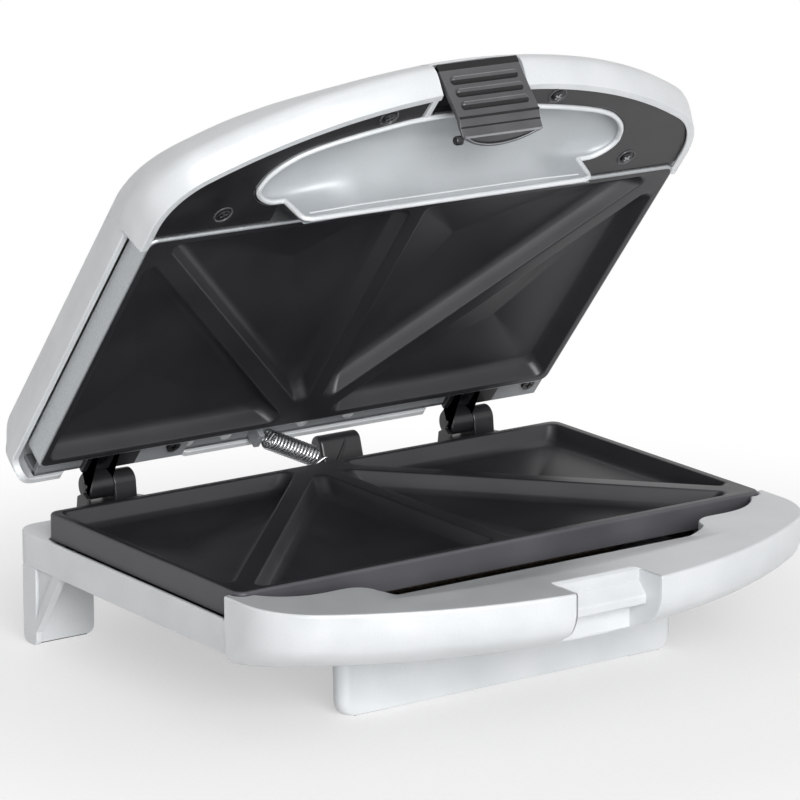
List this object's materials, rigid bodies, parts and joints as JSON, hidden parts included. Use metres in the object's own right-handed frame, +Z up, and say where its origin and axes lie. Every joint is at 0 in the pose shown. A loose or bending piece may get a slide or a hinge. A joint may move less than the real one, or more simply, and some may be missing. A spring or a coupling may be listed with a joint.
{
  "type": "sandwich toaster",
  "caption": "Closed-jaw sandwich toaster standing part open: black pocketed hotplates, silver round-fronted casing, hinged lid with a sprung latch and a drop tray.",
  "frame": {"origin": "on the floor under the middle of the toaster's box as it stands open", "axes": "+Z up, -Y towards the latch at the front, +X along the hinge line to the right as seen from the front"},
  "size_m": [0.226, 0.2108, 0.2124],
  "materials": {
    "silver_plastic": "satin",
    "dark_plastic": "satin",
    "latch_plastic": "satin",
    "grey_plastic": "satin",
    "rubber": "matte",
    "nonstick_casting": "satin",
    "heater_sheath": "satin",
    "plated_sheet": "satin",
    "screw_steel": "satin",
    "black_screw": "satin",
    "white_ceramic": "matte",
    "cream_plastic": "matte",
    "pin_steel": "polished",
    "spring_wire": "polished",
    "board_green": "matte",
    "red_lens": "gloss",
    "green_lens": "gloss"
  },
  "bodies": {
    "base": {"base_housing": "silver_plastic", "base_bottom_cover": "dark_plastic", "front_foot": "silver_plastic", "rubber_feet": "rubber", "lower_hotplate": "nonstick_casting", "lower_heater": "heater_sheath", "lower_heat_shield": "plated_sheet", "lower_plate_screws": "screw_steel", "bottom_cover_screws": "screw_steel", "front_foot_screws": "screw_steel", "terminal_block": "white_ceramic", "cord_bush": "rubber", "cord_clamp": "cream_plastic", "wiring_cover": "dark_plastic", "left_base_hinge": "dark_plastic", "right_base_hinge": "dark_plastic", "left_hinge_pin": "pin_steel", "right_hinge_pin": "pin_steel", "base_hinge_screws": "screw_steel", "wire_guard_spring": "spring_wire"},
    "lid": {"lid_cover": "silver_plastic", "lid_liner": "dark_plastic", "drop_tray": "silver_plastic", "liner_screws": "black_screw", "lid_rear_frame": "grey_plastic", "left_lid_hinge": "dark_plastic", "right_lid_hinge": "dark_plastic", "lid_hinge_screws": "black_screw", "upper_hotplate": "nonstick_casting", "upper_heater": "heater_sheath", "upper_heat_shield": "plated_sheet", "upper_plate_screws": "screw_steel", "thermostat": "cream_plastic", "thermal_fuse": "pin_steel", "lamp_holder": "board_green", "power_lens": "red_lens", "ready_lens": "green_lens", "latch_pin": "pin_steel", "latch_spring": "spring_wire"},
    "latch": {"latch": "latch_plastic"}
  },
  "joints": [
    {"name": "lid_hinge", "type": "hinge", "parent": "base", "child": "lid", "pos_m": [0, 0.0928, 0.051], "axis": [-1, 0, 0], "range_deg": [-51, 45], "deforming": ["wire_guard_spring"]},
    {"name": "latch_pivot", "type": "hinge", "parent": "lid", "child": "latch", "pos_m": [0, -0.0236, 0.20714], "axis": [-1, 0, 0], "range_deg": [0, 20], "stiffness_Nm_per_rad": 0.03, "springref_deg": -11.46}
  ]
}
